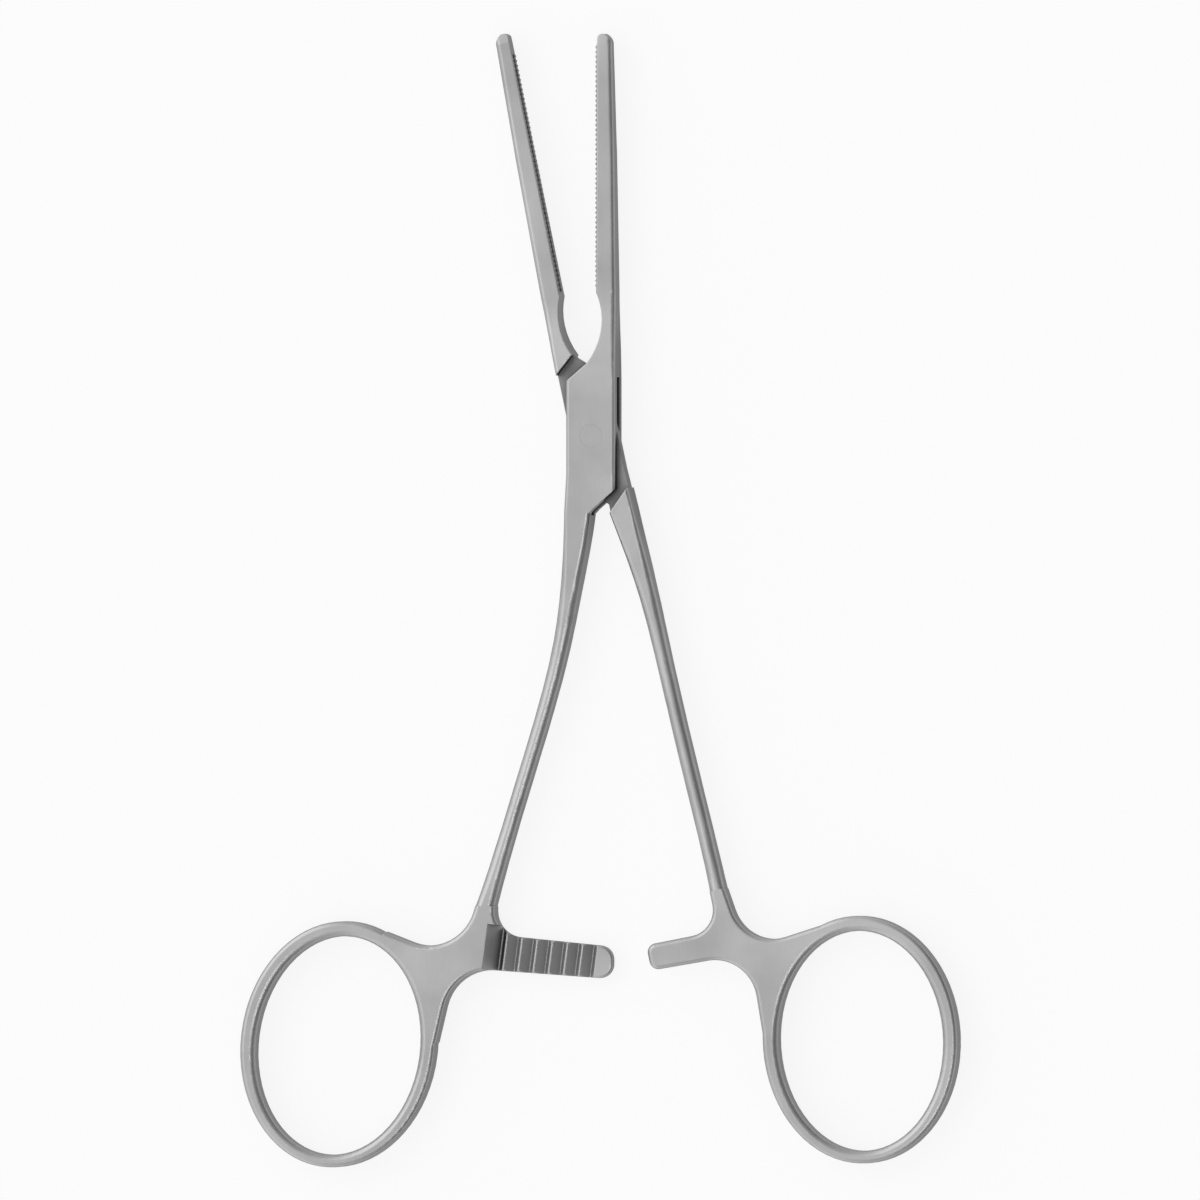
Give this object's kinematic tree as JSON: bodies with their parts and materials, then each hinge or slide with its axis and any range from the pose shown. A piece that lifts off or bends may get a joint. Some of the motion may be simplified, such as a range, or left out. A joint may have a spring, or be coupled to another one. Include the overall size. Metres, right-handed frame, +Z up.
{
  "type": "atraumatic vascular clamp",
  "caption": "Ring-handled steel vascular clamp with a box lock, straight fine-toothed atraumatic jaws and interlocking ratchet arms, lying open.",
  "frame": {"origin": "on the hinge axis, on the underside of the box lock", "axes": "+Y along the box lock towards the jaws, +Z up from the table along the hinge axis, +X to the right seen from above"},
  "size_m": [0.0904, 0.1399, 0.0046],
  "materials": {
    "satin_steel": "satin stainless steel",
    "pin_steel": "satin stainless steel, ground flush"
  },
  "bodies": {
    "box_body": {"box_half": "satin_steel", "hinge_pin": "pin_steel"},
    "insert_body": {"insert_half": "satin_steel"}
  },
  "joints": [
    {"name": "box_lock_hinge", "type": "hinge", "parent": "box_body", "child": "insert_body", "pos_m": [0, 0, 0.0023], "axis": [0, 0, 1], "range_deg": [-12, 38]}
  ]
}
